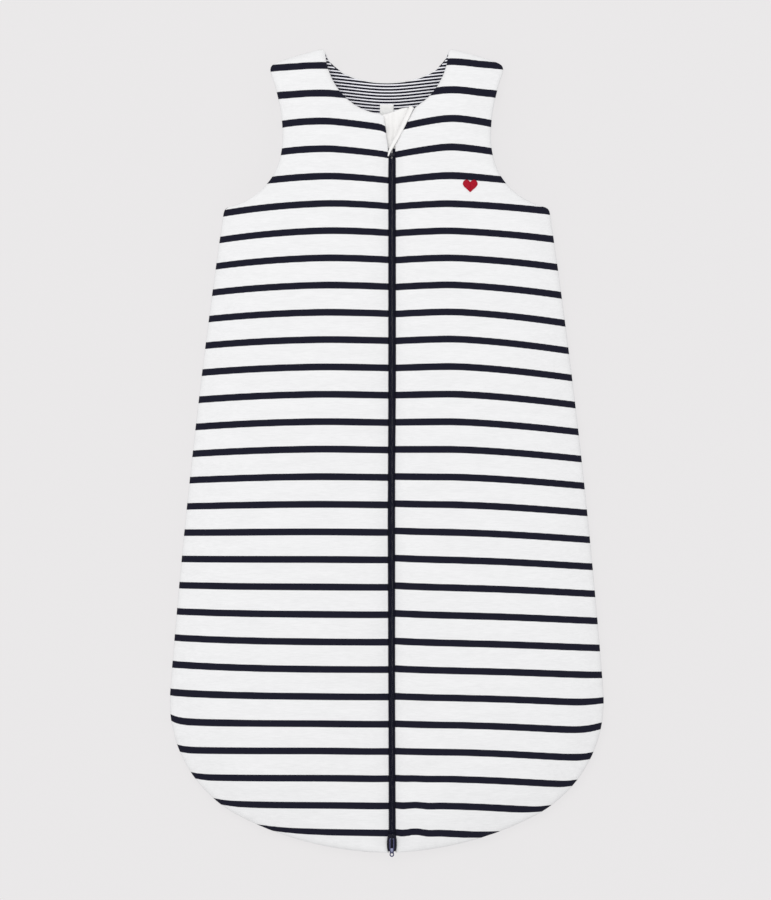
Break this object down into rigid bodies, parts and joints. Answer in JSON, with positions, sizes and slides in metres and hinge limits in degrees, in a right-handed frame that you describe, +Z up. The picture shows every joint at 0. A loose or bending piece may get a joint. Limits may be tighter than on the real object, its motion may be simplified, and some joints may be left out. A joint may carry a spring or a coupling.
{
  "type": "baby sleeping bag",
  "caption": "Sleeveless padded baby sleeping bag lying on its back: open neck and armholes, rounded foot, and a front zip whose slider runs from the hem to the chest.",
  "frame": {"origin": "on the underside, on the centre line, halfway along the bag", "axes": "+X across the bag to the wearer's left side, which is on the right as it is looked at from above, +Y towards the neck, +Z up from the back to the front"},
  "size_m": [0.378, 0.7032, 0.031],
  "materials": {
    "outer_jersey": "matte",
    "lining_jersey": "matte",
    "wadding": "matte",
    "seam_allowance": "matte",
    "plain_jersey": "matte",
    "zip_tape": "matte",
    "zip_coil": "satin",
    "zip_metal": "gloss",
    "spring_steel": "satin",
    "embroidery": "satin",
    "label_tape": "satin"
  },
  "bodies": {
    "bag": {"back_outer": "outer_jersey", "back_wadding": "wadding", "back_lining": "lining_jersey", "front_left_outer": "outer_jersey", "front_left_wadding": "wadding", "front_left_lining": "lining_jersey", "side_seam_left": "seam_allowance", "shoulder_seam_left": "seam_allowance", "zip_tape_left": "zip_tape", "zip_coil_left": "zip_coil", "zip_end_stop_left": "zip_metal", "front_right_outer": "outer_jersey", "front_right_wadding": "wadding", "front_right_lining": "lining_jersey", "side_seam_right": "seam_allowance", "shoulder_seam_right": "seam_allowance", "zip_tape_right": "zip_tape", "zip_coil_right": "zip_coil", "zip_end_stop_right": "zip_metal", "hem_seam": "seam_allowance", "zip_guard": "plain_jersey", "front_facing": "plain_jersey", "zip_top_stop": "zip_metal", "chest_heart": "embroidery", "neck_label": "label_tape", "care_label": "label_tape"},
    "slider": {"slider_body": "zip_metal", "slider_bridge": "zip_metal"},
    "pull": {"pull_tab": "zip_metal"},
    "lock": {"lock_leaf": "spring_steel"}
  },
  "joints": [
    {"name": "slider_slide", "type": "slide", "parent": "bag", "child": "slider", "axis": [0, 1, 0], "range_m": [0, 0.587]},
    {"name": "pull_swing", "type": "hinge", "parent": "slider", "child": "pull", "pos_m": [0.0044, -0.3378, 0.0282], "axis": [-1, 0, 0], "range_deg": [0, 165]},
    {"name": "lock_lift", "type": "slide", "parent": "slider", "child": "lock", "axis": [0, 0, 1], "range_m": [0, 0.0004]}
  ],
  "couplings": [
    {"joint": "lock_lift", "follows": "pull_swing", "m_per_rad": 0.000138}
  ]
}
